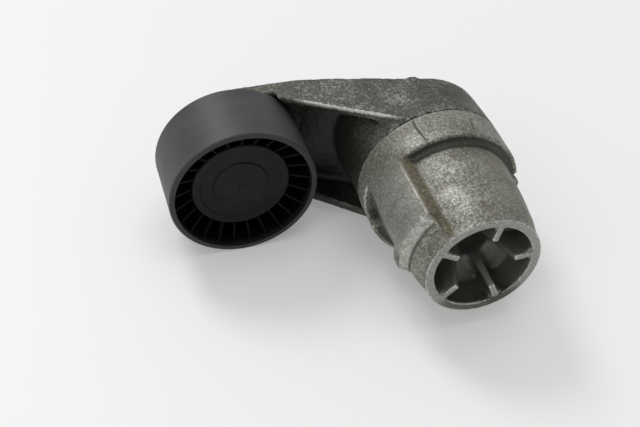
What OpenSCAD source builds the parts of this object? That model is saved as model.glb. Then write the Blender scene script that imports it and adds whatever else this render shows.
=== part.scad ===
// Automatic belt tensioner with an idler pulley.
// The pivot axis is the Y axis. Y = 0 is the open, ribbed end of the spring
// housing, the arm and the pulley lie towards +Y, and +Z is up when the part
// lies on the hub and the pulley.

/* [Spring housing] */
// Outer radius of the machined spigot at the open end
spigot_r = 29.1; // [28.6:0.1:29.4]
// Inner radius of the socket at the mouth
socket_r = 24.6; // [24:0.1:25.2]
// Outer radius of the collar and of the arm hub at the joint
collar_r = 39.4; // [39:0.1:40]
// Distance from the open end to the collar's front face
collar_front_y = 51.3; // [50:0.1:52]
// Distance from the open end to the collar's rear face
collar_rear_y = 70.4; // [70:0.1:70.8]
// Number of socket ribs
rib_count = 5; // [3:1:6]
// Direction of the first socket rib, in degrees about the axis
rib_first_deg = 76; // [60:1:90]

/* [Arm] */
// Distance from the pivot axis to the pulley axis
arm_length = 95.9; // [95:0.1:97]
// Distance from the open end to the back of the hub
hub_back_y = 104; // [103.5:0.1:104.5]
// Radius of the arm's end around the pulley bolt
arm_end_r = 28; // [26:0.5:29]
// Wall thickness of the arm's flanges and web
arm_wall = 5; // [4:0.5:5.5]
// Free angle that the arm can lift, in degrees
arm_travel_deg = 60; // [40:1:65]

/* [Pulley] */
// Outer radius of the pulley's smooth running face
pulley_r = 38; // [37:0.1:38.2]
// Width of the running face
pulley_w = 37; // [36:0.5:37]
// Number of ribs in each side of the pulley
pulley_ribs = 25; // [20:1:36]
// Number of bearing balls
ball_count = 8; // [7:1:8]

/* [Fasteners and bushes] */
// Radius of the hole for the fixing bolt through the pivot tube
bolt_bore_r = 6.5; // [6.3:0.1:6.8]
// Outer radius of the pivot tube
tube_r = 11; // [10.8:0.1:11]
// Number of turns of the torsion spring
spring_turns = 7; // [5:0.5:7]

/* [Hidden] */
$fn = 96;

cast_grey = [0.52, 0.51, 0.49];
steel = [0.66, 0.66, 0.67];
nylon = [0.16, 0.17, 0.17];
cap_black = [0.2, 0.2, 0.2];
seal_black = [0.1, 0.1, 0.1];
bronze = [0.55, 0.47, 0.3];
brass = [0.75, 0.62, 0.35];

// Clearances
running_fit = 0.05;      // radial, shaft in bush
face_gap = 0.1;          // axial, between faces that rub
free_gap = 0.3;          // between bodies that never touch
joint_gap = 0.6;         // between the collar and the arm hub

// Barrel profile stations, as distance from the open end and radius
spigot_len = 3;
barrel_mid_y = 12;
barrel_mid_r = 31;
barrel_back_y = 28;
barrel_back_r = 32.9;
barrel_collar_r = 33.9;

// Raised pad on the barrel and its foot
pad_from = 131.5;
pad_to = 176;
pad_front_y = 15;
pad_front_r = 37.4;
pad_side_front_z = 3.2;  // height of the pad's lower side at its front end
pad_side_back_z = 8.2;   // and at the collar
step_width_deg = 7.5;
side_steps = 5;
blend_step = 0.05;
foot_to = 190;
foot_start_y = 3.2;
foot_y = 10.5;
foot_r = 33.6;
wall_in_r = spigot_r - 3;  // inside the barrel's wall, where the pad and the foot begin

// Relief pocket in the collar beside the pad
pocket_from = 160;
pocket_to = 198.5;
pocket_y = 60;
pocket_r = 33.6;

// Small cast lug on the far side of the collar, with a pit beside it
nub_from = -9;
nub_to = -1.2;
nub_r = collar_r + 2.2;
pit_from = 1.5;
pit_to = 8;
pit_depth = 3.5;

// Socket
socket_depth = 16;
floor_inner_y = 19.5;
socket_hole_r = 11;
rib_tip_r = 16;
rib_root_r = 11;
rib_root_y = 13.5;
rib_t = 3;
rib_draft = 0.75;

// Spring chamber, its sleeve, and the plastic guide inside the spring
guide_inner_r = 14.55;
guide_outer_r = 16.2;
guide_front_y = 29;
guide_end_y = 68;
chamber_r = 28.5;
chamber_y = 26.5;
seat_end_y = 40;
sleeve_r = 31.5;
sleeve_end_y = 84;

// Stop lug on the collar, in the window of the arm hub
lug_from = -95;
lug_to = -80;
lug_len = 6;
lug_inner_r = 34.8;
lug_outer_r = collar_r - 0.4;

// Arm hub
hub_front_y = collar_rear_y + joint_gap;
hub_back_r = 38;
hub_round = 7;
cup_r = 34;
cup_floor_y = 97;
bush_r = 13;
bush_boss_r = 17;
bush_front_y = 76;
bush_len = 13;
window_len = lug_len + free_gap + 0.4;

// Pulley stack, as distances from the open end
pulley_front_y = 79.3;
pulley_back_y = pulley_front_y + pulley_w;
cap_y = 86.2;
cap_r = 25.3;
bearing_y = 98.5;
bearing_w = 12;
bearing_bore_r = 8.5;
bearing_outer_r = 20;
race_r = 14.25;
ball_r = 3.375;
inner_ring_r = 12;
outer_ring_r = 16.6;
groove_r = ball_r + 0.03;
ball_y = bearing_y + bearing_w / 2;
seal_t = 0.8;
recess_r = 22.6;
arm_plate_y = pulley_back_y + 1.2;
pulley_room = 1.5;
arm_back_y = 128.5;
boss_r = 13;
bolt_r = 5;
shield_t = 1;

// Spring
wire_r = 3;
spring_r = 24;
spring_y = chamber_y + wire_r + 0.5;
spring_len = cup_floor_y - wire_r - 0.5 - spring_y;
spring_steps = 22;         // stations in each turn
wire_sides = 8;

// Pivot tube and its washers
tube_front_y = 30;
washer_t = 1.5;
retainer_t = 2.5;
retainer_r = 19.6;
tube_end_y = hub_back_y + washer_t + retainer_t + 2 * face_gap + 1;

// Helpers -----------------------------------------------------------------

// A solid of revolution about the pivot axis from a profile of [radius, y]
module turned(profile) rotate([-90, 0, 0]) rotate_extrude() polygon(profile);

// The same, only between two directions about the axis
module turned_sector(profile, from, to)
    rotate([-90, 0, 0]) rotate([0, 0, -to]) rotate_extrude(angle = to - from) polygon(profile);

// A ring from y0 to y1
module ring(r_in, r_out, y0, y1) turned([[r_in, y0], [r_out, y0], [r_out, y1], [r_in, y1]]);

// A disc or rod from y0 to y1
module rod(r, y0, y1) translate([0, y0, 0]) rotate([-90, 0, 0]) cylinder(r = r, h = y1 - y0);

// An outline in X and Z, from y0 to y1
module plate(y0, y1) translate([0, y1, 0]) rotate([90, 0, 0]) linear_extrude(y1 - y0) children();

module at_pulley() translate([-arm_length, 0, 0]) children();

// Points of an arc, for profiles with rounded edges
function arc(cx, cy, r, from, to, n = 8) =
    [for (i = [0:n]) let (a = from + (to - from) * i / n) [cx + r * cos(a), cy + r * sin(a)]];

// Spring housing ----------------------------------------------------------

module barrel_outer() {
    turned([[0, 0], [spigot_r, 0], [spigot_r, spigot_len], [barrel_mid_r, barrel_mid_y],
            [barrel_back_r, barrel_back_y], [barrel_collar_r, collar_front_y],
            [collar_r, collar_front_y], [collar_r, collar_rear_y], [0, collar_rear_y]]);
}

// Pad that stands out of the barrel and runs into the collar
module barrel_pad() {
    pad_back_y = collar_front_y + 1;
    turned_sector([[wall_in_r, pad_front_y - 3], [foot_r - 1.2, pad_front_y - 3],
                   [pad_front_r - 0.6, pad_front_y - 1], [pad_front_r, pad_front_y],
                   [collar_r - blend_step, pad_back_y], [wall_in_r, pad_back_y]],
                  pad_from, pad_to);
    // sloped side of the pad, in small steps down to the barrel
    for (i = [1:side_steps])
        let (drop = i / (side_steps + 1))
        turned_sector([[wall_in_r, pad_front_y - 2.5], [foot_r - 1.4 - 2 * drop, pad_front_y - 2.5],
                       [pad_front_r - 5.2 * drop, pad_front_y],
                       [collar_r - blend_step - 5.5 * drop, pad_back_y], [wall_in_r, pad_back_y]],
                      pad_from - i * step_width_deg / side_steps, pad_from + 1);
}

// Everything below the pad's lower side, which leans in towards the collar
module below_pad() {
    start_y = pad_front_y - 4;
    translate([-60, 0, 0]) rotate([90, 0, 90]) linear_extrude(40)
        polygon([[start_y, pad_side_front_z], [collar_front_y, pad_side_back_z],
                 [pocket_y, pad_side_back_z], [pocket_y, -30], [start_y, -30]]);
}

// Flared foot between the pad and the spigot, with its lip
module barrel_foot() {
    lip_r = pad_front_r - blend_step;
    lip_front_y = foot_y + 0.5;
    turned_sector([[wall_in_r, foot_start_y], [spigot_r - 0.2, foot_start_y], [foot_r, foot_y],
                   [foot_r + 0.4, pad_front_y + 6], [wall_in_r, pad_front_y + 6]],
                  pad_from - 0.7, foot_to - 0.5);
    turned_sector([[wall_in_r, lip_front_y], [foot_r - 0.5, lip_front_y],
                   [lip_r - 0.6, pad_front_y - 0.8], [lip_r, pad_front_y + 0.2],
                   [lip_r, pad_front_y + 7], [foot_r - 1, pad_front_y + 11],
                   [wall_in_r, pad_front_y + 11]],
                  pad_to - 2, foot_to);
}

// One rib of the socket, at a direction about the axis
module socket_rib(angle) {
    rib_back_y = floor_inner_y + 1;
    rotate([0, -angle, 0])
        intersection() {
            translate([0, 0, -rib_t])
                linear_extrude(2 * rib_t)
                    polygon([[rib_tip_r, 0], [socket_r + 1, 0], [socket_r + 1, rib_back_y],
                             [rib_root_r - 1, rib_back_y], [rib_root_r, rib_root_y]]);
            // draft: the rib is thicker at its root
            rotate([0, 90, 0]) linear_extrude(socket_r + 2)
                polygon([[-rib_t / 2, -1], [rib_t / 2, -1], [rib_t / 2 + rib_draft, rib_back_y],
                         [-rib_t / 2 - rib_draft, rib_back_y]]);
        }
}

// Cast housing: barrel, collar, spring chamber and the ribbed socket for the fixing bolt
module spring_housing() {
    color(cast_grey) {
        difference() {
            union() {
                barrel_outer();
                difference() {
                    barrel_pad();
                    below_pad();
                }
                barrel_foot();
                ring(chamber_r, sleeve_r, collar_rear_y - 1, sleeve_end_y);
                // stop lug behind the collar
                turned_sector([[lug_inner_r, collar_rear_y - 1], [lug_outer_r, collar_rear_y - 1],
                               [lug_outer_r, collar_rear_y + lug_len],
                               [lug_inner_r, collar_rear_y + lug_len]],
                              lug_from, lug_to);
                // small cast lug on the far side of the collar
                turned_sector([[collar_r - 2, collar_front_y + 0.5], [nub_r, collar_front_y + 1.3],
                               [nub_r, collar_front_y + 8], [collar_r - 2, collar_front_y + 10]],
                              nub_from, nub_to);
            }
            // socket, with its cone-shaped floor
            turned([[0, -1], [socket_r, -1], [socket_r - 0.3, socket_depth],
                    [socket_hole_r + 1, floor_inner_y], [socket_hole_r, floor_inner_y + 1],
                    [socket_hole_r, seat_end_y + 1], [0, seat_end_y + 1]]);
            // spring chamber
            ring(bush_r + 1.5, chamber_r, chamber_y, sleeve_end_y + 1);
            ring(0, bush_r + 2, seat_end_y, sleeve_end_y + 1);
            // relief pocket beside the pad
            intersection() {
                turned_sector([[pocket_r, collar_front_y - 1], [collar_r + 1, collar_front_y - 1],
                               [collar_r + 1, pocket_y], [pocket_r, pocket_y]],
                              pocket_from, pocket_to);
                below_pad();
            }
            // pit beside the small lug
            turned_sector([[collar_r - pit_depth, collar_front_y - 1],
                           [collar_r + 1, collar_front_y - 1], [collar_r + 1, collar_front_y + 4],
                           [collar_r - pit_depth, collar_front_y + 4]],
                          pit_from, pit_to);
        }
        intersection() {
            for (i = [0:rib_count - 1]) socket_rib(rib_first_deg + i * 360 / rib_count);
            rod(socket_r + 0.5, 0, floor_inner_y + 1);
        }
    }
}

// Pivot tube, held in the housing's floor and swaged over the retaining washer
module pivot_tube() {
    color(steel)
        turned([[bolt_bore_r, tube_front_y], [tube_r, tube_front_y], [tube_r, tube_end_y - 1],
                [tube_r + 1.6, tube_end_y - 0.9], [tube_r + 1.2, tube_end_y], [bolt_bore_r, tube_end_y]]);
}

// Sleeve that keeps the spring centred, standing on a flange on the chamber's floor
module spring_guide() {
    color(nylon) {
        ring(guide_inner_r, guide_outer_r, guide_front_y, guide_end_y);
        ring(guide_inner_r, guide_outer_r + 2.3, chamber_y + 0.05, guide_front_y + 0.2);
    }
}

// Round-wire torsion spring: a ring of points at each station of the helix
function spring_ring(i, count) =
    let (t = i / count, a = 360 * spring_turns * t, cy = spring_y + spring_len * t)
    [for (k = [0:wire_sides - 1])
        let (b = 360 * k / wire_sides, r = spring_r + wire_r * cos(b))
        [r * cos(a), cy + wire_r * sin(b), r * sin(a)]];

module torsion_spring() {
    count = round(spring_turns * spring_steps);
    points = [for (i = [0:count]) each spring_ring(i, count)];
    sides = [for (i = [0:count - 1], k = [0:wire_sides - 1])
        let (a = i * wire_sides + k, b = i * wire_sides + (k + 1) % wire_sides)
        [a, b, b + wire_sides, a + wire_sides]];
    first_end = [for (k = [wire_sides - 1:-1:0]) k];
    last_end = [for (k = [0:wire_sides - 1]) count * wire_sides + k];
    color(steel) polyhedron(points, concat(sides, [first_end, last_end]), convexity = 10);
}

// Friction bush on the housing's sleeve, inside the arm's cup
module damping_bush() {
    inner_r = sleeve_r + 0.02;
    front_y = collar_rear_y + 0.02;
    flange_y = hub_front_y - face_gap;
    color(nylon)
        turned([[inner_r, front_y], [lug_inner_r - 0.2, front_y], [lug_inner_r - 0.2, flange_y],
                [cup_r - running_fit, flange_y], [cup_r - running_fit, sleeve_end_y - 0.2],
                [inner_r, sleeve_end_y - 0.2]]);
}

// Plastic washer that the arm's hub rubs on
module thrust_washer() {
    y0 = hub_back_y + face_gap;
    color(nylon) ring(tube_r + running_fit, bush_boss_r, y0, y0 + washer_t);
}

// Steel washer that the swaged end of the tube holds
module retaining_washer() {
    y0 = hub_back_y + 2 * face_gap + washer_t;
    edge = 0.6;
    color(steel)
        turned([[tube_r + 0.02, y0], [retainer_r - edge, y0], [retainer_r, y0 + edge],
                [retainer_r, y0 + retainer_t - edge], [retainer_r - edge, y0 + retainer_t],
                [tube_r + 0.02, y0 + retainer_t]]);
}

// Arm ---------------------------------------------------------------------

// Outline of the arm in X and Z, drawn in by the given amount
module arm_outline(inset) {
    r0 = collar_r - 1 - inset;
    r1 = arm_end_r - inset;
    a = asin((r0 - r1) / arm_length);
    circle(r = r0);
    translate([-arm_length, 0]) circle(r = r1);
    polygon([[-r0 * sin(a), r0 * cos(a)], [-arm_length - r1 * sin(a), r1 * cos(a)],
             [-arm_length - r1 * sin(a), -r1 * cos(a)], [-r0 * sin(a), -r0 * cos(a)]]);
}

// Sloping beam from the hub to the plate behind the pulley
module arm_beam() {
    reach = arm_length + arm_end_r + 2;
    difference() {
        intersection() {
            plate(60, 135) arm_outline(0);
            translate([0, 0, -50]) linear_extrude(100)
                polygon([[0, hub_front_y], [-14.3, hub_front_y], [-76, arm_plate_y], [-reach, arm_plate_y],
                         [-reach, arm_back_y], [-87, arm_back_y], [-57, arm_back_y - 5.3],
                         [-20, hub_back_y + 5.8], [-6, hub_back_y - 1], [0, hub_back_y - 1]]);
        }
        // room for the pulley, and for the washers behind the hub
        at_pulley() rod(pulley_r + pulley_room, 60, arm_plate_y);
        rod(retainer_r + 1.4, hub_back_y - 0.5, 140);
    }
}

// Hollow between the beam's two flanges and its web
module arm_channel() {
    reach = arm_length + arm_end_r + 2;
    web_y = arm_back_y - arm_wall - 1;
    difference() {
        intersection() {
            plate(60, 135) arm_outline(arm_wall);
            translate([0, 0, -50]) linear_extrude(100)
                polygon([[-10, 60], [-reach, 60], [-reach, web_y], [-87, web_y], [-57, web_y - 5.3],
                         [-10, hub_back_y + 2 - arm_wall - 1]]);
        }
        rod(collar_r - 0.6, 50, 140);
        at_pulley() rod(boss_r + 1, 50, 140);
    }
}

// Cast arm: hub with its cup, hollow beam, and boss for the pulley
module tensioner_arm() {
    hub_profile = concat([[0, hub_front_y], [collar_r, hub_front_y], [collar_r, hub_front_y + 3]],
                         arc(hub_back_r - hub_round, hub_back_y - hub_round, hub_round, 0, 90),
                         [[0, hub_back_y]]);
    color(cast_grey)
        difference() {
            union() {
                turned(hub_profile);
                arm_beam();
                at_pulley() rod(boss_r, bearing_y + bearing_w + shield_t, arm_back_y);
                at_pulley() turned([[0, arm_back_y - 1], [boss_r + 3, arm_back_y - 1],
                                    [boss_r + 2, arm_back_y + 1.5], [0, arm_back_y + 1.5]]);
            }
            arm_channel();
            // cup, with the bush boss left standing
            ring(bush_boss_r, cup_r, hub_front_y - 1, cup_floor_y);
            rod(bush_boss_r + 1, hub_front_y - 1, bush_front_y);
            rod(bush_r, bush_front_y - 1, hub_back_y + 1);
            // window for the stop lug
            turned_sector([[cup_r - 1, hub_front_y - 1], [collar_r + 1, hub_front_y - 1],
                           [collar_r + 1, hub_front_y + window_len], [cup_r - 1, hub_front_y + window_len]],
                          lug_from - 0.3, lug_to + arm_travel_deg + 0.3);
            // threaded hole for the pulley bolt
            at_pulley() rod(bolt_r, 100, arm_back_y + 3);
        }
}

// Bronze bushes that the hub turns on
module front_bush() {
    color(bronze) ring(tube_r + 0.03, bush_r, bush_front_y, bush_front_y + bush_len);
}

module rear_bush() {
    color(bronze) ring(tube_r + 0.03, bush_r, hub_back_y - bush_len, hub_back_y);
}

// Lip seal between the two bushes
module hub_seal() {
    y0 = bush_front_y + bush_len + face_gap;
    color(nylon) ring(tube_r + 0.08, bush_r - 0.02, y0, hub_back_y - bush_len - face_gap);
}

// Pulley, its bearing and its bolt ------------------------------------------

// Flanged hexagon bolt, with a dimple in its head
module pulley_bolt() {
    head_y = bearing_y - 1;
    flange_r = 11;
    hexagon_r = 9.24;
    hexagon_h = 7;
    color(steel) at_pulley() {
        rod(bolt_r, head_y - 1, arm_back_y + 1);
        turned([[0, head_y - 2], [flange_r - 0.8, head_y - 2], [flange_r, head_y - 0.4],
                [flange_r, head_y], [0, head_y]]);
        difference() {
            translate([0, head_y - hexagon_h - 1, 0]) rotate([-90, 0, 0]) rotate([0, 0, 30])
                cylinder(r = hexagon_r, h = hexagon_h, $fn = 6);
            rod(bolt_r, head_y - 9, head_y - 6.5);
        }
    }
}

// Spacer between the bolt and the bearing, with a shoulder under the bolt head
module bearing_spacer() {
    color(steel) at_pulley() {
        ring(bolt_r + 0.05, bearing_bore_r - 0.02, bearing_y - 0.5, bearing_y + bearing_w + shield_t);
        ring(bolt_r + 0.05, 10.5, bearing_y - 1, bearing_y);
    }
}

// Round track of the balls, to cut from both rings
module race_groove()
    rotate([-90, 0, 0]) rotate_extrude()
        translate([race_r, ball_y]) circle(r = groove_r, $fn = 48);

module bearing_inner_ring() {
    color(steel) at_pulley() difference() {
        ring(bearing_bore_r, inner_ring_r, bearing_y, bearing_y + bearing_w);
        race_groove();
    }
}

module bearing_outer_ring() {
    color(steel) at_pulley() difference() {
        ring(outer_ring_r, bearing_outer_r, bearing_y, bearing_y + bearing_w);
        race_groove();
    }
}

module bearing_balls() {
    color(steel) at_pulley()
        for (i = [0:ball_count - 1]) rotate([0, i * 360 / ball_count, 0])
            translate([race_r, ball_y, 0]) sphere(r = ball_r, $fn = 48);
}

// Cage: a thin ring with a round pocket for each ball
module ball_cage() {
    edge_gap = 1.6;
    color(brass) at_pulley() difference() {
        ring(race_r - 1, race_r + 1, bearing_y + edge_gap, bearing_y + bearing_w - edge_gap);
        for (i = [0:ball_count - 1]) rotate([0, i * 360 / ball_count, 0])
            translate([race_r - 4, ball_y, 0]) rotate([0, 90, 0])
                cylinder(r = ball_r + 0.12, h = 8);
    }
}

// Rubber seal between the two rings, clear of the inner one
module bearing_seal(y0) at_pulley() ring(inner_ring_r + 0.15, outer_ring_r, y0, y0 + seal_t);

module front_bearing_seal() color(seal_black) bearing_seal(bearing_y + 0.1);

module rear_bearing_seal() color(seal_black) bearing_seal(bearing_y + bearing_w - seal_t - 0.1);

// Fixed washer behind the bearing
module rear_dust_shield() {
    y0 = bearing_y + bearing_w;
    dish = 0.7;
    edge_r = recess_r - free_gap;
    color(steel) at_pulley()
        turned([[bearing_bore_r, y0], [boss_r + 0.4, y0], [boss_r + 1.6, y0 + dish],
                [edge_r, y0 + dish], [edge_r, y0 + 1.5], [boss_r + 1.2, y0 + 1.5],
                [boss_r + 0.1, y0 + shield_t], [bearing_bore_r, y0 + shield_t]]);
}

// Moulded pulley: rim, hub, middle web and radial ribs
module pulley() {
    hub_r = 24.9;
    rim_in = pulley_r - 2.9;
    web_y = pulley_front_y + pulley_w / 2;
    rib_edge = [[hub_r - 1, cap_y + 1.2], [rim_in + 0.3, pulley_front_y + 2.4],
                [rim_in + 0.3, pulley_back_y - 2.4], [hub_r - 1, pulley_back_y - 5]];
    rib_w = 1.1;
    rib_phase = -1.4;
    edge = 0.6;
    web_half = 2;
    color(nylon) at_pulley() difference() {
        union() {
            turned([[rim_in, pulley_front_y], [pulley_r - edge, pulley_front_y],
                    [pulley_r, pulley_front_y + edge], [pulley_r, pulley_back_y - edge],
                    [pulley_r - edge, pulley_back_y], [rim_in, pulley_back_y],
                    [rim_in - 1, web_y + web_half], [rim_in - 1, web_y - web_half]]);
            ring(bearing_outer_r, hub_r, cap_y + 1.6, pulley_back_y - 2);
            ring(hub_r - 1, rim_in, web_y - web_half, web_y + web_half);
            for (i = [0:pulley_ribs - 1]) rotate([0, rib_phase + i * 360 / pulley_ribs, 0])
                translate([0, 0, -rib_w / 2]) linear_extrude(rib_w) polygon(rib_edge);
        }
        // seat of the dust cap, bearing seat and the space for the bolt head
        rod(cap_r + 0.15, cap_y - 8, cap_y + 1.55);
        rod(recess_r, cap_y - 1, bearing_y);
        rod(recess_r, bearing_y + bearing_w, pulley_back_y);
    }
}

// Cap over the bolt head: a disc with a dimple and a shallow groove, and a skirt behind it
module dust_cap() {
    skirt_r = recess_r - 0.1;
    skirt_t = 1.2;
    dimple_r = 1;
    disc_r = 14;
    disc_y = cap_y - 0.1;
    groove_y = cap_y + 0.5;
    color(cap_black) at_pulley()
        turned([[0, cap_y + 0.3], [dimple_r, cap_y + 0.3], [dimple_r + 0.5, disc_y],
                [disc_r, disc_y], [disc_r + 0.4, groove_y], [20.6, groove_y], [21.2, cap_y],
                [cap_r - 0.5, cap_y], [cap_r, cap_y + 0.5], [cap_r, cap_y + 1.5],
                [skirt_r, cap_y + 1.5], [skirt_r, cap_y + 4], [skirt_r - skirt_t, cap_y + 4],
                [skirt_r - skirt_t, cap_y + 1.8], [0, cap_y + 1.8]]);
}

spring_housing();
pivot_tube();
spring_guide();
torsion_spring();
damping_bush();
thrust_washer();
retaining_washer();
tensioner_arm();
front_bush();
rear_bush();
hub_seal();
pulley_bolt();
bearing_spacer();
bearing_inner_ring();
rear_dust_shield();
pulley();
bearing_outer_ring();
front_bearing_seal();
rear_bearing_seal();
dust_cap();
bearing_balls();
ball_cage();
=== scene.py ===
import math

import bpy
import numpy as np
import openvdb as vdb
from mathutils import Matrix, Vector, noise


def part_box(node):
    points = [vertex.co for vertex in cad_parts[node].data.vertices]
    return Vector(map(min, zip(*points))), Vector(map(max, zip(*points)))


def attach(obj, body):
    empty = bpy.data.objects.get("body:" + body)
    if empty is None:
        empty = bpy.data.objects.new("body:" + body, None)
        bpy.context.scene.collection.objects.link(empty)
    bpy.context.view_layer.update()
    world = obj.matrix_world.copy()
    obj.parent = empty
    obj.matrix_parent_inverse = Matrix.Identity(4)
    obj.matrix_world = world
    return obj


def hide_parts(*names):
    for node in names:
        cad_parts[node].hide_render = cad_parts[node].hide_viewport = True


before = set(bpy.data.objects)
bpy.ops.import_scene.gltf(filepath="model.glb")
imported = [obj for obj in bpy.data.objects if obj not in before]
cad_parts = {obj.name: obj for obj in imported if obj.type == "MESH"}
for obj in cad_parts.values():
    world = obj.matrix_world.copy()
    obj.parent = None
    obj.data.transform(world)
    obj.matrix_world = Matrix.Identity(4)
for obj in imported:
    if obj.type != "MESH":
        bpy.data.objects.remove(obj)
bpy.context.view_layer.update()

MM = 0.001
# Most triangles in one casting
most_triangles = 195000

# Places, from the frame. Lengths in this script are millimetres unless a name says metres.
housing_low, _ = (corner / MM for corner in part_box("spring_housing"))
arm_low, _ = (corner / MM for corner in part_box("tensioner_arm"))
pulley_low, pulley_high = (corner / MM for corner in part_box("pulley"))

hub_r = -housing_low.x
pulley_r = (pulley_high.z - pulley_low.z) / 2
pulley_x = (pulley_low.x + pulley_high.x) / 2
# Front and back of the housing's collar
collar_y0 = 51.3
collar_y1 = 70.4

# Front edge of the arm's flanges, as (x, y), and how much they close in towards the pulley
flange_start = (-14.3, 71.0)
flange_end = (-76.0, 117.5)
flange_taper = 0.108
# Back of the arm's beam, as (distance towards the pulley, y)
beam_back = [(20.0, 109.8), (57.0, 123.2), (87.0, 128.5)]

# Scribe lines on the collar, as stations of (y, degrees about the pivot)
scribe_main = [(68.8, 109.6), (63.3, 109.9), (54.0, 108.5), (52.3, 106.4)]
scribe_faint = [(64.4, 67.8), (50.2, 72.1)]

# Camera: focal length in mm, place in metres, and its turn as an axis as long as the angle in radians
lens = 63.8
camera_place = Vector((-0.18573, -0.33210, 0.37945))
camera_turn = Vector((0.811383, -0.134673, -0.265473))
# The point in metres that the lamps aim at
aim = (-0.05, 0.06, 0.0)


# Meshes ----------------------------------------------------------------------

def new_piece(name, points, faces, body, replaced):
    """A mesh piece from points in millimetres, on its body, in place of its CAD nodes."""
    mesh = bpy.data.meshes.new(name)
    mesh.from_pydata((np.asarray(points, float) * MM).tolist(), [], [list(f) for f in faces])
    mesh.validate()
    mesh.polygons.foreach_set("use_smooth", [True] * len(mesh.polygons))
    piece = bpy.data.objects.new(name, mesh)
    bpy.context.scene.collection.objects.link(piece)
    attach(piece, body)
    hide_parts(*replaced)
    return piece


def cad_solid(node):
    """Welded points, in millimetres, and triangles of a CAD node."""
    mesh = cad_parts[node].data
    mesh.calc_loop_triangles()
    points = np.empty(len(mesh.vertices) * 3, np.float32)
    mesh.vertices.foreach_get("co", points)
    points = points.reshape(-1, 3) / MM
    triangles = np.empty(len(mesh.loop_triangles) * 3, np.int32)
    mesh.loop_triangles.foreach_get("vertices", triangles)
    _, first, same = np.unique(np.round(points * 1e3), axis=0, return_index=True, return_inverse=True)
    triangles = same.ravel()[triangles].reshape(-1, 3)
    whole = (triangles != np.roll(triangles, 1, axis=1)).all(axis=1)
    return points[first], triangles[whole].astype(np.uint32)


def distance_grid(points, voxel, reach, triangles=None, quads=None):
    """Signed distance to a closed mesh, out to reach millimetres, negative inside."""
    return vdb.FloatGrid.createLevelSetFromPolygons(
        np.ascontiguousarray(points, np.float32),
        triangles=triangles,
        quads=quads,
        transform=vdb.createLinearTransform(voxelSize=voxel),
        halfWidth=reach / voxel,
    )


def moved_out(grid, by, voxel, reach):
    """The grid of the same solid, grown by a distance, or shrunk where it is negative."""
    points, triangles, quads = grid.convertToPolygons(isovalue=by, adaptivity=0.0)
    return distance_grid(points, voxel, reach, quads=quads)


def dense(grid, low, shape):
    values = np.empty(shape, np.float32)
    grid.copyToArray(values, ijk=low)
    return values


def softened(grid, voxel, fillet_r, edge_r):
    """The grid of the same solid with its corners filleted and its edges rounded."""
    reach = fillet_r + edge_r + 3 * voxel
    grown = moved_out(grid, fillet_r, voxel, reach)
    shrunk = moved_out(grown, -fillet_r - edge_r, voxel, reach)
    return moved_out(shrunk, edge_r, voxel, reach)


def box_blur(values, radius, axis):
    margins = [(radius + 1, radius) if a == axis else (0, 0) for a in range(3)]
    total = np.cumsum(np.pad(values, margins, mode="edge"), axis=axis, dtype=np.float64)
    count = values.shape[axis]
    upper = np.take(total, range(2 * radius + 1, 2 * radius + 1 + count), axis=axis)
    lower = np.take(total, range(count), axis=axis)
    return ((upper - lower) / (2 * radius + 1)).astype(np.float32)


def blurred(values, radius):
    for axis in range(3):
        values = box_blur(box_blur(values, radius, axis), radius, axis)
    return values


def sampled(values, first, voxel, points):
    """Values of a dense grid at points, from the eight voxels round each."""
    at = points / voxel - np.array(first)
    at = np.clip(at, 0, np.array(values.shape) - 1.001)
    base = at.astype(int)
    part = at - base
    total = np.zeros(len(points), np.float32)
    for corner in np.ndindex(2, 2, 2):
        weight = np.prod(np.where(corner, part, 1 - part), axis=1)
        i, j, k = (base + corner).T
        total += weight * values[i, j, k]
    return total


def surface(values, first, voxel):
    grid = vdb.FloatGrid()
    grid.copyFromArray(np.ascontiguousarray(values, np.float32), ijk=first)
    grid.transform = vdb.createLinearTransform(voxelSize=voxel)
    points, triangles, quads = grid.convertToPolygons(isovalue=0.0, adaptivity=0.0)
    return points.astype(float), quads.astype(np.int64)


def vertex_normals(points, quads):
    corners = points[quads]
    face = np.cross(corners[:, 2] - corners[:, 0], corners[:, 3] - corners[:, 1])
    normals = np.zeros_like(points)
    for c in range(4):
        for axis in range(3):
            normals[:, axis] += np.bincount(quads[:, c], face[:, axis], len(points))
    return normals / np.maximum(np.linalg.norm(normals, axis=1, keepdims=True), 1e-12)


def neighbour_mean(values, quads):
    """Mean of each vertex's neighbours along the edges of the quads."""
    total = np.zeros_like(values)
    count = np.zeros(len(values))
    columns = values.reshape(len(values), -1)
    sums = total.reshape(len(values), -1)
    for a, b in ((0, 1), (1, 2), (2, 3), (3, 0)):
        for start, end in ((quads[:, a], quads[:, b]), (quads[:, b], quads[:, a])):
            count += np.bincount(start, minlength=len(values))
            for column in range(columns.shape[1]):
                sums[:, column] += np.bincount(start, columns[end, column], len(values))
    return total / np.maximum(count, 1).reshape(-1, *[1] * (values.ndim - 1))


def relaxed(points, quads, weight, passes):
    """Points moved towards their neighbours' mean, by weight."""
    for _ in range(passes):
        points = points + (neighbour_mean(points, quads) - points) * weight[:, None]
    return points


def lumps(points, size, octaves):
    """Fractal noise from about -1 to 1 at each point, with lumps of a size in millimetres."""
    return np.array([noise.fractal(Vector(p) / size, 1.0, 2.0, octaves) for p in points.tolist()])


def smoothstep(low, high, values):
    t = np.clip((values - low) / (high - low), 0, 1)
    return t * t * (3 - 2 * t)


def between(low, high, soft, values):
    return smoothstep(low - soft, low + soft, values) * (1 - smoothstep(high - soft, high + soft, values))


def give_attribute(piece, name, values):
    attribute = piece.data.attributes.new(name, "FLOAT", "POINT")
    attribute.data.foreach_set("value", np.asarray(values, np.float32))


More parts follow.
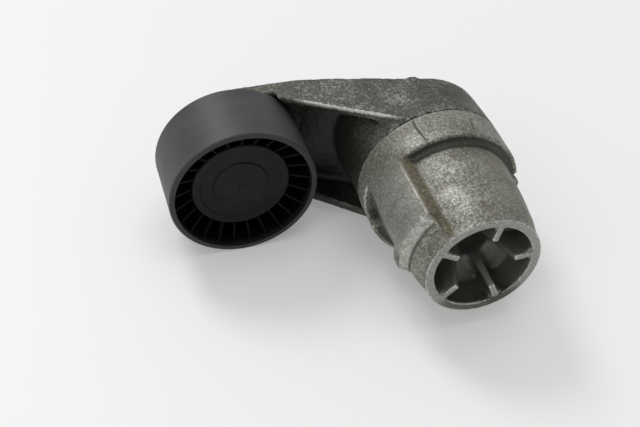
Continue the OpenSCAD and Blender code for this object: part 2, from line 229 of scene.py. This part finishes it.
def thinned(piece, triangles):
    """Collapses flat stretches until the piece has about this many triangles."""
    now = sum(len(p.vertices) - 2 for p in piece.data.polygons)
    if now <= triangles:
        return
    modifier = piece.modifiers.new("thin", "DECIMATE")
    modifier.ratio = triangles / now
    evaluated = piece.evaluated_get(bpy.context.evaluated_depsgraph_get())
    mesh = bpy.data.meshes.new_from_object(evaluated)
    piece.modifiers.clear()
    piece.data = mesh


# Materials -------------------------------------------------------------------

def put(tree, kind, output=0, settings=None, **inputs):
    """Adds a node. A name such as A_7 sets the input at that place, other names the input they say."""
    made = tree.nodes.new("ShaderNode" + kind)
    for key, value in (settings or {}).items():
        setattr(made, key, value)
    for key, value in inputs.items():
        socket = made.inputs[int(key[2:])] if key.startswith("A_") else made.inputs[key.replace("_", " ")]
        if isinstance(value, bpy.types.NodeSocket):
            tree.links.new(value, socket)
        else:
            socket.default_value = value
    return made.outputs[output]


def maths(tree, operation, a, b):
    return put(tree, "Math", settings={"operation": operation}, A_0=a, A_1=b)


def speckle(tree, size, detail=3.0, roughness=0.6, stretch=(1, 1, 1)):
    """Noise from 0 to 1 with spots of a size in millimetres."""
    place = put(tree, "TexCoord", output=3)
    spread = put(tree, "Mapping", Vector=place, Scale=stretch)
    return put(tree, "TexNoise", Vector=spread, Scale=1 / (size * MM), Detail=detail, Roughness=roughness)


def levels(tree, value, low, high, to_low=0.0, to_high=1.0):
    return put(tree, "MapRange", settings={"clamp": True},
               A_0=value, A_1=low, A_2=high, A_3=to_low, A_4=to_high)


def mixed(tree, share, a, b):
    return put(tree, "Mix", output=2, settings={"data_type": "RGBA"}, A_0=share, A_6=a, A_7=b)


def painted(tree, name):
    return put(tree, "Attribute", output=2, settings={"attribute_name": name})


def bump(tree, height, distance, strength=1.0, under=None):
    made = {"Height": height, "Distance": distance * MM, "Strength": strength}
    if under is not None:
        made["Normal"] = under
    return put(tree, "Bump", **made)


def colour(red, green, blue):
    """A linear colour from the 0 to 255 values of a screen."""
    def linear(value):
        value /= 255
        return value / 12.92 if value <= 0.04045 else ((value + 0.055) / 1.055) ** 2.4
    return (linear(red), linear(green), linear(blue), 1.0)


def new_material(name, **inputs):
    material = bpy.data.materials.new(name)
    material.use_nodes = True
    tree = material.node_tree
    shader = tree.nodes["Principled BSDF"]
    for key, value in inputs.items():
        shader.inputs[key.replace("_", " ")].default_value = value
    return material, tree, shader


def finish_material(tree, shader, **links):
    for key, value in links.items():
        tree.links.new(value, shader.inputs[key.replace("_", " ")])


def shaded(tone, by):
    """A colour made darker or lighter by a factor."""
    return tuple(min(1.0, c * by) for c in tone[:3]) + (1.0,)


def casting(name, base, grime_and_shade, bright, inner):
    """Cast aluminium: mottled, with grime and painted shade in its hollows and corners, painted shade in
    its recesses, painted highlights and sheen where the shine mask is high, bright on worn edges, brown
    where oil has dried.
    """
    material, tree, shader = new_material(name)
    fine = speckle(tree, 0.8, 4.0, 0.7)
    pits = speckle(tree, 1.5, 6.0, 0.75)
    cloud = speckle(tree, 16.0, 4.0, 0.6)
    wear, cavity, shine, rust, machined, soot, smooth = (
        painted(tree, mask) for mask in ("wear", "cavity", "shine", "rust", "machined", "soot", "smooth"))

    # dark pits in a lighter skin, over broad clouds of dirt; lighter and calmer on the smooth pad, partly a
    # painted sheen, and on the ledge shoulder, a painted highlight
    grain = maths(tree, "ADD", pits, maths(tree, "MULTIPLY", maths(tree, "SUBTRACT", fine, 0.5), 0.8))
    drift = maths(tree, "MULTIPLY", maths(tree, "SUBTRACT", cloud, 0.5), 0.45)
    # shine lifts the tone a little where a highlight is painted
    tone = maths(tree, "ADD", maths(tree, "ADD", grain, drift), maths(tree, "MULTIPLY", shine, 0.09))
    mottle = levels(tree, tone, 0.36, 0.66)
    even = maths(tree, "MULTIPLY", smooth, 0.7)
    mottle = maths(tree, "ADD", maths(tree, "MULTIPLY", mottle, maths(tree, "SUBTRACT", 1.0, even)),
                   maths(tree, "MULTIPLY", even, 0.95))
    body = mixed(tree, mottle, grime_and_shade, base)
    # bright bare patches, with more of them where shine paints a highlight
    patch = maths(tree, "MULTIPLY", levels(tree, tone, 0.55, 0.68), levels(tree, shine, 0, 1, 0.22, 0.6))
    body = mixed(tree, patch, body, bright)
    face = mixed(tree, levels(tree, grain, 0.38, 0.6), colour(128, 128, 123), colour(168, 168, 163))
    body = mixed(tree, maths(tree, "MULTIPLY", machined, 0.9), body, face)
    oil = mixed(tree, levels(tree, grain, 0.4, 0.6), colour(58, 52, 36), colour(116, 108, 84))
    patchy = maths(tree, "MULTIPLY", maths(tree, "SUBTRACT", grain, 0.5), 2.0)
    oiled = levels(tree, maths(tree, "ADD", rust, patchy), 0.35, 0.8)
    body = mixed(tree, maths(tree, "MULTIPLY", oiled, 0.85), body, oil)
    # painted shade in recesses (the socket, the arm's channel): darker and lighter copies of the inner
    # colour, with fewer rubbed edges and more gloss there
    inside = mixed(tree, pits, shaded(inner, 0.6), shaded(inner, 1.6))
    body = mixed(tree, maths(tree, "MULTIPLY", soot, 0.9), body, inside)
    # grime and painted shade: where the cavity mask is high, the colour goes towards a dark copy of the
    # grime colour
    corner = levels(tree, cavity, 0.5, 0.95, 0.0, 0.8)
    body = mixed(tree, corner, body, shaded(grime_and_shade, 0.3))
    # rubbed edges
    rubbed = levels(tree, maths(tree, "ADD", wear, maths(tree, "SUBTRACT", pits, 0.5)), 0.30, 0.75)
    rubbed = maths(tree, "MULTIPLY", rubbed, levels(tree, soot, 0, 1, 0.9, 0.2))
    body = mixed(tree, rubbed, body, bright)

    cut = maths(tree, "MULTIPLY", machined, 0.7)
    bare = maths(tree, "MAXIMUM", maths(tree, "MAXIMUM", rubbed, patch), cut)
    metal = maths(tree, "MAXIMUM", levels(tree, bare, 0.0, 1.0, 0.2, 0.8),
                  levels(tree, mottle, 0.0, 1.0, 0.2, 0.65))
    dull = maths(tree, "SUBTRACT", pits, maths(tree, "MULTIPLY", maths(tree, "MAXIMUM", bare, smooth), 0.3))
    dull = maths(tree, "SUBTRACT", dull, maths(tree, "MULTIPLY", soot, 0.5))
    rough = levels(tree, dull, 0.1, 0.75, 0.36, 0.66)
    relief = bump(tree, fine, 0.10, 0.55)
    relief = bump(tree, pits, 0.25, 0.5, relief)
    finish_material(tree, shader, Base_Color=body, Metallic=metal, Roughness=rough, Normal=relief)
    return material


def plastic(name, tone, roughness, dust, shine=0.4):
    """Moulded plastic: nearly black, satin, with fine grain, faint streaks and a film of dust."""
    material, tree, shader = new_material(name, Specular_IOR_Level=shine)
    fine = speckle(tree, 0.6, 3.0, 0.6)
    cloud = speckle(tree, 9.0, 3.0, 0.55)
    shade = mixed(tree, levels(tree, fine, 0.3, 0.7), shaded(tone, 0.85), shaded(tone, 1.15))
    shade = mixed(tree, levels(tree, cloud, 0.35, 0.75, 0.0, dust), shade, colour(150, 147, 140))
    rough = levels(tree, maths(tree, "ADD", fine, cloud), 0.7, 1.3, roughness - 0.06, roughness + 0.08)
    finish_material(tree, shader, Base_Color=shade, Roughness=rough, Normal=bump(tree, fine, 0.02, 0.5))
    return material


def pulley_plastic():
    """Glass-filled nylon: black where it was moulded, and a worn grey satin where the belt runs."""
    material, tree, shader = new_material("pulley_nylon", Specular_IOR_Level=0.4)
    place = put(tree, "TexCoord", output=3)
    offset = put(tree, "VectorMath", settings={"operation": "SUBTRACT"},
                 A_0=place, A_1=(pulley_x * MM, 0, 0))
    across = put(tree, "VectorMath", settings={"operation": "MULTIPLY"}, A_0=offset, A_1=(1, 0, 1))
    radius = put(tree, "VectorMath", output=1, settings={"operation": "LENGTH"}, A_0=across)
    run = levels(tree, radius, (pulley_r - 0.7) * MM, (pulley_r - 0.25) * MM)
    rim = levels(tree, radius, (pulley_r - 3.2) * MM, (pulley_r - 2.7) * MM)
    fine = speckle(tree, 0.7, 3.0, 0.6)
    cloud = speckle(tree, 10.0, 3.0, 0.55)
    tracks = speckle(tree, 5.0, 3.0, 0.6, (0.08, 3, 0.08))
    moulded = mixed(tree, fine, colour(6, 6, 6), colour(11, 11, 11))
    moulded = mixed(tree, rim, moulded, mixed(tree, cloud, colour(34, 35, 35), colour(52, 53, 53)))
    worn = mixed(tree, levels(tree, maths(tree, "ADD", tracks, cloud), 0.8, 1.25),
                 colour(61, 63, 64), colour(70, 72, 73))
    worn = mixed(tree, levels(tree, fine, 0.62, 0.75, 0.0, 0.35), worn, colour(96, 98, 98))
    shade = mixed(tree, run, moulded, worn)
    rough = levels(tree, maths(tree, "ADD", fine, cloud), 0.7, 1.3, 0.44, 0.58)
    gloss = levels(tree, rim, 0, 1, 0.09, 0.4)
    finish_material(tree, shader, Base_Color=shade, Roughness=rough, Specular_IOR_Level=gloss,
                    Normal=bump(tree, fine, 0.02, 0.4))
    return material


def worn_metal(name, tone, roughness, streak=(1, 1, 1), stained=0.35):
    """Turned or drawn metal with fine tool marks and stains."""
    material, tree, shader = new_material(name, Metallic=1.0)
    marks = speckle(tree, 1.2, 3.0, 0.6, streak)
    cloud = speckle(tree, 6.0, 4.0, 0.6)
    shade = mixed(tree, levels(tree, marks, 0.35, 0.65), shaded(tone, 0.8), tone)
    shade = mixed(tree, levels(tree, cloud, 0.5, 0.8, 0.0, stained), shade, colour(70, 62, 50))
    rough = levels(tree, maths(tree, "ADD", marks, cloud), 0.7, 1.3, roughness - 0.08, roughness + 0.12)
    finish_material(tree, shader, Base_Color=shade, Roughness=rough, Normal=bump(tree, marks, 0.03, 0.5))
    return material


def dress(thing, material):
    """The one material of a piece or of a CAD node."""
    thing.data.materials.clear()
    thing.data.materials.append(material)


# Castings and mouldings ------------------------------------------------------

def polar(x, z):
    """Radius about the pivot, and direction in degrees: 0 along +X, 90 at the top, up to 360."""
    return np.hypot(x, z), np.degrees(np.arctan2(z, x)) % 360


def soft_solid(node, voxel, rounds, sharp):
    """Points and quads of a CAD node whose corners and edges are rounded.

    rounds lists (fillet radius, edge radius, where); where(x, y, z) is 1 where that rounding
    holds, and the first one holds everywhere else. sharp(x, y, z) is 1 where the node stays crisp.
    Returns the dense distances and their first voxel too.
    """
    reach = max(r[0] for r in rounds) + 3 * voxel
    points, triangles = cad_solid(node)
    grid = distance_grid(points, voxel, reach, triangles=triangles)
    first, last = grid.evalActiveVoxelBoundingBox()
    shape = tuple(b - a + 1 for a, b in zip(first, last))
    places = [(first[a] + np.arange(shape[a])).reshape([-1 if a == b else 1 for b in range(3)]) * voxel
              for a in range(3)]
    values = None
    for fillet_r, edge_r, where in rounds:
        layer = dense(softened(grid, voxel, fillet_r, edge_r), first, shape)
        values = layer if values is None else values + (layer - values) * where(*places)
    values = values + (dense(grid, first, shape) - values) * sharp(*places)
    points, quads = surface(values, first, voxel)
    points = relaxed(points, quads, np.full(len(points), 0.5), 1)
    return points, quads, values, first


def edge_and_hollow(points, quads, values, first, voxel):
    """How far each vertex is on an edge, and how far it lies in a hollow, from 0 to 1."""
    normals = vertex_normals(points, quads)
    bend = np.einsum("ij,ij->i", points - neighbour_mean(points, quads), normals) / voxel ** 2
    for _ in range(2):
        bend = 0.5 * bend + 0.5 * neighbour_mean(bend, quads)
    filled = blurred((values < 0).astype(np.float32), round(2.5 / voxel))
    hollow = sampled(filled, first, voxel, points + normals * 2.0)
    return normals, np.clip(bend * 2.6, 0, 1), np.clip(hollow * 2.0, 0, 1)


def cast_skin(points, normals, rough):
    """Points pressed in by the uneven skin of a casting, by up to a few tenths of a millimetre."""
    skin = lumps(points, 2.6, 3) * 0.09 + lumps(points + 40, 9.0, 2) * 0.10
    return points + normals * ((skin - 0.10) * rough)[:, None]


def paint(piece, **masks):
    for name, values in masks.items():
        give_attribute(piece, name, np.clip(values, 0, 1))


def near_line(stations, y, angle, half_width):
    """1 on a broken line over the collar, through stations of (y, degrees), and 0 beside it."""
    where = np.stack([y, np.radians(angle) * hub_r], axis=1)
    nearest = np.full(len(y), 1e3)
    turns = [np.array([a, math.radians(b) * hub_r]) for a, b in stations]
    for start, end in zip(turns, turns[1:]):
        along = np.clip((where - start) @ (end - start) / ((end - start) @ (end - start)), 0, 1)
        gap = np.linalg.norm(where - start - along[:, None] * (end - start), axis=1)
        nearest = np.minimum(nearest, gap)
    return 1 - smoothstep(half_width * 0.4, half_width * 1.6, nearest)


def make_housing(voxel):
    def in_socket(x, y, z):
        return (1 - smoothstep(23.5, 26.5, polar(x, z)[0])) * (1 - smoothstep(21, 24, y))

    def crisp(x, y, z):
        """The machined end face and the fits behind the collar."""
        return 0.8 * np.maximum(1 - smoothstep(0.5, 1.3, y), smoothstep(69.4, 69.9, y)) + 0 * x * z

    rounds = [(0.45, 0.35, None), (2.6, 0.4, in_socket)]
    points, quads, values, first = soft_solid("spring_housing", voxel, rounds, crisp)
    radius, angle = polar(points[:, 0], points[:, 2])
    y = points[:, 1]
    ramp = between(123.0, 132.5, 1.0, angle) * between(11, 50, 1.0, y) * (radius > 30)
    points = relaxed(points, quads, 0.5 * ramp, 14)
    normals, wear, hollow = edge_and_hollow(points, quads, values, first, voxel)
    outside = smoothstep(28.4, 29.0, radius) * smoothstep(0.2, 1.5, y)
    fits = between(69.9, 90, 0.2, y)
    pad = between(133, 176, 3, angle) * smoothstep(14, 16, y) * (1 - smoothstep(34, 66, y)) * (radius > 34)
    faint = 0.6 * near_line(scribe_faint, y, angle, 0.4)
    scribed = np.maximum(near_line(scribe_main, y, angle, 0.45), faint)
    foot = between(130, 190, 3, angle) * between(0.5, 11.5, 1.0, y) * outside
    points = cast_skin(points, normals, outside * (1 - fits) * (1 - 0.6 * pad) + 0.7 * foot)
    points = points - normals * (0.3 * scribed * outside)[:, None]

    # where the photographed part is oily, rubbed, chipped, machined or dirty, where it is darker towards
    # the bottom of the end, and where shade, shadow, sheen and highlights are painted on it
    piece = new_piece("housing_casting", points, quads, "housing", ["spring_housing"])
    oily_ramp = between(124.5, 131.5, 1.5, angle) * between(2, 51, 3, y) * outside
    far_side = between(20, 72, 14, angle) * outside * between(2, 52, 6, y)
    # painted highlight on the middle of the barrel
    barrel_mid = between(92, 120, 10, angle) * between(8, 47, 7, y) * outside
    # painted highlight on the lit face of the ledge shoulder
    shoulder = between(133, 190, 1, angle) * between(11.2, 14.8, 0.5, y) * (radius > 33)
    # painted shade in the corner at the foot of the ledge
    ledge_shade = between(133, 190, 1, angle) * between(9.6, 10.9, 0.6, y) * outside
    chip = 0.7 * between(137.0, 138.6, 0.6, angle) * between(12.6, 17.4, 0.5, y) * (radius > 35)
    # darker towards the bottom of the end, with less of the machined face there
    lower_end_dark = between(225, 318, 14, angle) * (1 - smoothstep(2.0, 7.0, y)) * (radius > 24)
    end_face = (1 - smoothstep(0.12, 0.4, y)) * (1 - smoothstep(28.3, 28.9, radius))
    # painted highlight along the rim of the relief pocket
    pocket_rim = between(166, 212, 2, angle) * between(58.5, 60.8, 0.6, y) * (radius > 38.2)
    under_step = 1 - between(125, 200, 1.5, angle)
    # painted shadow cast by the collar's front step onto the barrel in front of it
    step_shadow = smoothstep(collar_y0 - 4.5, collar_y0 - 1.0, y) * (y < collar_y0 + 0.2)
    step_shadow = step_shadow * (radius < 37.5) * under_step * outside
    # darker along the collar's back edge, a painted shade in the joint with the arm, and round the outer
    # edge of the end face
    rims = smoothstep(collar_y1 - 0.6, collar_y1 - 0.2, y) * (radius > 38)
    rims = rims + (y < 1.0) * smoothstep(28.3, 28.9, radius)
    # dark scribed lines, plus painted shadow under the step, painted shade in the joint and at the ledge,
    # and darker towards the bottom of the end
    dirt_and_shade = 0.9 * scribed * outside + 0.7 * step_shadow + 0.6 * rims + 0.5 * ledge_shade + 0.6 * lower_end_dark
    # shine: painted highlights on the mid barrel, the ledge shoulder and the pocket rim, a painted sheen on
    # the pad, and less on the foot
    paint(piece, wear=wear + chip, cavity=hollow + dirt_and_shade, rust=oily_ramp + 0.3 * far_side,
          shine=0.4 * barrel_mid + 0.7 * pad + shoulder + pocket_rim - 0.5 * foot, smooth=pad + shoulder,
          machined=end_face * (1 - 0.9 * lower_end_dark), soot=(radius < 24.7) * smoothstep(0.5, 3.0, y) * (y < 27))
    thinned(piece, most_triangles)
    return piece


def make_arm(voxel):
    def shoulder(x, y, z):
        """The back of the hub, where the beam grows out of it."""
        return smoothstep(-38, -30, x) * smoothstep(92, 97, y) + 0 * z

    def crisp(x, y, z):
        return 0.8 * (1 - smoothstep(arm_low.y + 0.4, arm_low.y + 0.9, y)) * (x > -41) + 0 * z

    rounds = [(1.2, 0.5, None), (2.5, 1.6, shoulder)]
    points, quads, values, first = soft_solid("tensioner_arm", voxel, rounds, crisp)
    normals, wear, hollow = edge_and_hollow(points, quads, values, first, voxel)
    radius, _ = polar(points[:, 0], points[:, 2])
    y = points[:, 1]
    fits = (radius < 36) * (y < 98) * (points[:, 0] > -36) + (radius < 21) * (y > 96)
    points = cast_skin(points, normals, 1.15 * (1 - np.clip(fits, 0, 1)))
    piece = new_piece("arm_casting", points, quads, "arm", ["tensioner_arm"])
    top = smoothstep(18, 30, points[:, 2])
    slope = (flange_end[1] - flange_start[1]) / (flange_end[0] - flange_start[0])
    off_front = abs(y - flange_start[1] - (points[:, 0] - flange_start[0]) * slope)
    flange_z = hub_r - 1 + points[:, 0] * flange_taper
    front_edge = (1 - smoothstep(0.4, 1.6, off_front)) * between(-60, -18, 6, points[:, 0])
    front_edge = front_edge * smoothstep(-2.6, -1.2, points[:, 2] - flange_z)
    web_back = np.interp(-points[:, 0], *zip(*beam_back))
    # painted shade over the web in the channel between the flanges
    in_channel = smoothstep(30, 44, -points[:, 0]) * (points[:, 2] < flange_z - 2.5) * (y < web_back - 3)
    # painted shade in the joint with the housing's collar
    joint_rim = (1 - smoothstep(arm_low.y + 0.4, arm_low.y + 1.1, y)) * (radius > 37.5)
    # painted highlight on the top of the arm
    top_shine = top * between(-75, 20, 15, points[:, 0])
    paint(piece, wear=wear + 0.5 * front_edge, cavity=hollow + 0.8 * joint_rim, rust=0.2 * top,
          shine=0.2 * top_shine, smooth=0 * y, machined=0 * y, soot=(0.65 + hollow) * in_channel)
    thinned(piece, most_triangles)
    return piece


# Scene -----------------------------------------------------------------------

def make_stage():
    """A pale table that the hub and the pulley both rest on."""
    tilt = math.atan2(hub_r - pulley_r, -pulley_x)
    reach = 6.0
    mesh = bpy.data.meshes.new("table")
    corners = [(-reach, -reach, 0), (reach, -reach, 0), (reach, reach, 0), (-reach, reach, 0)]
    mesh.from_pydata(corners, [], [(0, 1, 2, 3)])
    table = bpy.data.objects.new("table", mesh)
    table.rotation_euler = (0, tilt, 0)
    table.location = (0, 0, -hub_r * MM - 0.0001)
    bpy.context.scene.collection.objects.link(table)
    material, _, shader = new_material("table_white", Roughness=0.5)
    shader.inputs["Base Color"].default_value = (0.70, 0.70, 0.70, 1)
    shader.inputs["Emission Color"].default_value = (1, 1, 1, 1)
    shader.inputs["Emission Strength"].default_value = 0.22
    dress(table, material)


def area_light(name, place, size, power):
    """A round soft light that points at the part, in metres and watts."""
    light = bpy.data.lights.new(name, "AREA")
    light.shape = "DISK"
    light.size = size
    light.energy = power
    lamp = bpy.data.objects.new(name, light)
    lamp.location = place
    lamp.rotation_mode = "QUATERNION"
    lamp.rotation_quaternion = (Vector(aim) - Vector(place)).to_track_quat("-Z", "Y")
    bpy.context.scene.collection.objects.link(lamp)


def make_lights():
    world = bpy.data.worlds.new("studio")
    bpy.context.scene.world = world
    world.use_nodes = True
    tree = world.node_tree
    direction = put(tree, "SeparateXYZ", output=2, Vector=put(tree, "TexCoord", output=0))
    sky = tree.nodes["Background"]
    sky.inputs["Color"].default_value = (1, 1, 1, 1)
    tree.links.new(levels(tree, direction, -0.1, 0.9, 0.40, 0.50), sky.inputs["Strength"])
    area_light("window", (-0.7, 1.9, 2.2), 1.0, 29.0)
    area_light("overhead", (0.4, 0.2, 2.8), 1.8, 13.0)
    area_light("front_left", (-1.8, -1.2, 1.8), 1.2, 7.0)
    bpy.context.scene.view_settings.view_transform = "Standard"


def make_camera():
    camera = bpy.data.cameras.new("camera")
    camera.lens = lens
    camera.sensor_width = 36.0
    camera.clip_start = 0.01
    holder = bpy.data.objects.new("camera", camera)
    turned = Matrix.Rotation(camera_turn.length, 4, camera_turn.normalized())
    holder.matrix_world = Matrix.Translation(camera_place) @ turned
    bpy.context.scene.collection.objects.link(holder)
    bpy.context.scene.camera = holder


make_camera()
make_stage()
make_lights()

housing_voxel = 0.5
arm_voxel = 0.6
bare_metal_and_highlight = colour(216, 216, 210)
# colours: base, grime and painted shade, bare metal and painted highlight, and the painted shade in
# recesses
dress(make_housing(housing_voxel),
      casting("cast_aluminium_housing", colour(160, 160, 152), colour(86, 84, 73), bare_metal_and_highlight,
              colour(100, 99, 95)))
dress(make_arm(arm_voxel),
      casting("cast_aluminium_arm", colour(98, 97, 91), colour(52, 50, 43), bare_metal_and_highlight,
              colour(34, 34, 32)))

black_nylon = plastic("black_nylon", colour(20, 20, 20), 0.42, dust=0.05)
cap_plastic = plastic("cap_plastic", colour(11, 11, 11), 0.50, dust=0.03, shine=0.22)
seal_rubber = plastic("seal_rubber", colour(28, 28, 29), 0.62, dust=0.05)
ground_steel = worn_metal("ground_steel", colour(190, 190, 192), 0.28, streak=(1, 6, 1), stained=0.1)
plain_steel = worn_metal("plain_steel", colour(150, 149, 146), 0.4)
spring_steel = worn_metal("spring_steel", colour(88, 88, 90), 0.38)
bronze = worn_metal("bush_bronze", colour(172, 138, 84), 0.36)
cage_brass = worn_metal("cage_brass", colour(186, 158, 96), 0.34)

look_of = {
    "pivot_tube": plain_steel, "spring_guide": black_nylon, "torsion_spring": spring_steel,
    "damping_bush": seal_rubber, "thrust_washer": black_nylon, "retaining_washer": plain_steel,
    "front_bush": bronze, "rear_bush": bronze, "hub_seal": seal_rubber, "pulley_bolt": plain_steel,
    "bearing_spacer": ground_steel, "bearing_inner_ring": ground_steel, "rear_dust_shield": plain_steel,
    "pulley": pulley_plastic(), "bearing_outer_ring": ground_steel, "front_bearing_seal": seal_rubber,
    "rear_bearing_seal": seal_rubber, "dust_cap": cap_plastic, "bearing_balls": ground_steel,
    "ball_cage": cage_brass,
}
for name, look in look_of.items():
    dress(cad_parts[name], look)
